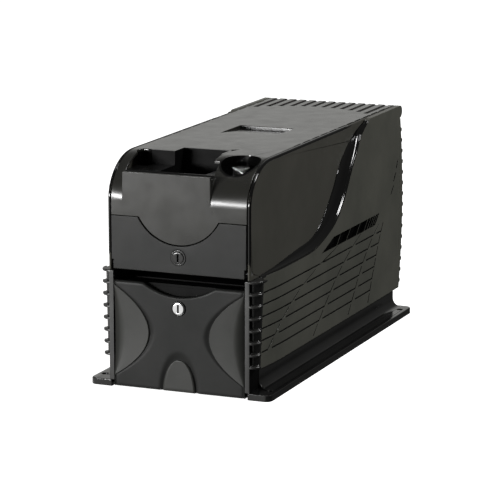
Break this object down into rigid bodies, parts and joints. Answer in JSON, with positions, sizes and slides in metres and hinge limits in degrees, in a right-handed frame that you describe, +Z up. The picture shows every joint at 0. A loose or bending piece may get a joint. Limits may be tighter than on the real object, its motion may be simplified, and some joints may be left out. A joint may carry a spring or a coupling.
{
  "type": "bill validator",
  "caption": "Countertop bill validator with a note inlet in a rear-hinged hood, a keyed front door, a slide-out keyed cash box and side bolting flanges",
  "frame": {"origin": "Centre of the bounding box at the table surface", "axes": "+X across the width to the right of the user, -Y the front with the note inlet and cash box, +Z up"},
  "size_m": [0.17, 0.3816, 0.2028],
  "materials": {
    "case_black": "satin charcoal moulded housing plastic with a fine texture",
    "panel_gloss": "smooth near-black side panels",
    "trim_gloss": "glossy black swept trim",
    "front_grain": "fine-grained charcoal front mouldings",
    "base_black": "satin black base moulding",
    "chrome": "polished lock parts",
    "lock_ring": "black lock bezel",
    "zinc_sheet": "zinc plated sheet steel",
    "shaft_steel": "ground steel shafts and pins",
    "guide_plastic": "dark note guides",
    "inner_plastic": "plain black cash box plastic",
    "roller_rubber": "soft drive rubber",
    "gear_plastic": "ivory acetal gear",
    "brass": "brass",
    "board": "green circuit board",
    "plate_alu": "aluminium plate"
  },
  "bodies": {
    "chassis": {"base_tray": "base_black", "left_post": "case_black", "right_post": "case_black", "left_panel": "panel_gloss", "right_panel": "panel_gloss", "left_shell": "case_black", "right_shell": "case_black", "left_cove": "trim_gloss", "right_cove": "trim_gloss", "rear_cover": "case_black", "rear_ribs": "case_black", "cover_bosses": "case_black", "rear_connector": "inner_plastic", "rubber_feet": "roller_rubber", "deck": "zinc_sheet", "left_frame": "zinc_sheet", "right_frame": "zinc_sheet", "rear_guide": "guide_plastic", "bushes": "brass", "drive_belt": "roller_rubber", "motor": "zinc_sheet", "main_board": "board", "power_supply": "zinc_sheet", "sensor_board": "board", "cover_screws": "shaft_steel", "hinge_pin": "shaft_steel", "door_pins": "shaft_steel", "cash_runners": "zinc_sheet"},
    "hood": {"hood": "case_black", "hood_rails": "case_black", "hood_tray": "trim_gloss", "lock_well": "trim_gloss", "well_ring": "chrome", "upper_head": "guide_plastic", "hood_sensor": "board", "pinch_springs": "shaft_steel"},
    "hood_lock": {"lock_knob": "chrome"},
    "door": {"front_door": "front_grain", "door_bezel": "lock_ring"},
    "door_lock": {"door_lock": "chrome"},
    "lower_drive": {"drive_shaft": "shaft_steel", "drive_rollers": "roller_rubber", "drive_gear": "gear_plastic", "drive_pulley": "guide_plastic"},
    "upper_drive": {"upper_shaft": "shaft_steel", "upper_rollers": "roller_rubber", "upper_pulley": "guide_plastic"},
    "pinion": {"motor_pinion": "brass"},
    "lower_pinch": {"lower_pinch": "guide_plastic"},
    "upper_pinch": {"upper_pinch": "guide_plastic"},
    "gate": {"diverter": "guide_plastic"},
    "cash_box": {"cash_shell": "inner_plastic", "cash_ends": "inner_plastic", "stack_ledges": "inner_plastic", "cash_front": "front_grain", "cash_lid": "inner_plastic", "stacker_guides": "shaft_steel", "pressure_springs": "shaft_steel"},
    "cash_lock": {"cash_lock": "chrome"},
    "stacker": {"stacker_plate": "plate_alu"},
    "pressure": {"pressure_plate": "plate_alu"}
  },
  "joints": [
    {"name": "hood_hinge", "type": "hinge", "parent": "chassis", "child": "hood", "pos_m": [0, 0.17935, 0.197], "axis": [-1, 0, 0], "range_deg": [0, 60]},
    {"name": "hood_lock_turn", "type": "hinge", "parent": "hood", "child": "hood_lock", "pos_m": [0.0445, -0.15665, 0.1848], "axis": [0, 0, 1], "range_deg": [0, 90]},
    {"name": "door_hinge", "type": "hinge", "parent": "chassis", "child": "door", "pos_m": [0, -0.18415, 0.11], "axis": [1, 0, 0], "range_deg": [0, 90]},
    {"name": "door_lock_turn", "type": "hinge", "parent": "door", "child": "door_lock", "pos_m": [0, -0.18465, 0.1192], "axis": [0, 1, 0], "range_deg": [0, 90]},
    {"name": "lower_drive_turn", "type": "hinge", "parent": "chassis", "child": "lower_drive", "pos_m": [-0.0113, -0.15065, 0.125], "axis": [1, 0, 0], "continuous": true},
    {"name": "upper_drive_turn", "type": "hinge", "parent": "chassis", "child": "upper_drive", "pos_m": [-0.0113, -0.15065, 0.158], "axis": [1, 0, 0], "continuous": true},
    {"name": "pinion_turn", "type": "hinge", "parent": "chassis", "child": "pinion", "pos_m": [-0.0113, -0.1265, 0.125], "axis": [1, 0, 0], "continuous": true},
    {"name": "lower_pinch_turn", "type": "hinge", "parent": "hood", "child": "lower_pinch", "pos_m": [-0.0113, -0.16715, 0.125], "axis": [1, 0, 0], "continuous": true},
    {"name": "upper_pinch_turn", "type": "hinge", "parent": "hood", "child": "upper_pinch", "pos_m": [-0.0113, -0.16715, 0.158], "axis": [1, 0, 0], "continuous": true},
    {"name": "gate_tilt", "type": "hinge", "parent": "chassis", "child": "gate", "pos_m": [-0.0113, -0.15565, 0.1044], "axis": [1, 0, 0], "range_deg": [-14, 14]},
    {"name": "cash_box_slide", "type": "slide", "parent": "chassis", "child": "cash_box", "axis": [0, -1, 0], "range_m": [0, 0.22]},
    {"name": "cash_lock_turn", "type": "hinge", "parent": "cash_box", "child": "cash_lock", "pos_m": [0, -0.18465, 0.0748], "axis": [0, 1, 0], "range_deg": [0, 90]},
    {"name": "stacker_slide", "type": "slide", "parent": "cash_box", "child": "stacker", "axis": [0, 0, -1], "range_m": [0, 0.018]},
    {"name": "pressure_slide", "type": "slide", "parent": "cash_box", "child": "pressure", "axis": [0, 0, -1], "range_m": [0, 0.034], "stiffness_N_per_m": 400, "springref_m": -0.02, "deforming": ["pressure_springs"]}
  ],
  "couplings": [
    {"joint": "upper_drive_turn", "follows": "lower_drive_turn", "ratio": 1},
    {"joint": "pinion_turn", "follows": "lower_drive_turn", "ratio": -3},
    {"joint": "lower_pinch_turn", "follows": "lower_drive_turn", "ratio": -1.2857},
    {"joint": "upper_pinch_turn", "follows": "lower_drive_turn", "ratio": -1.2857}
  ]
}
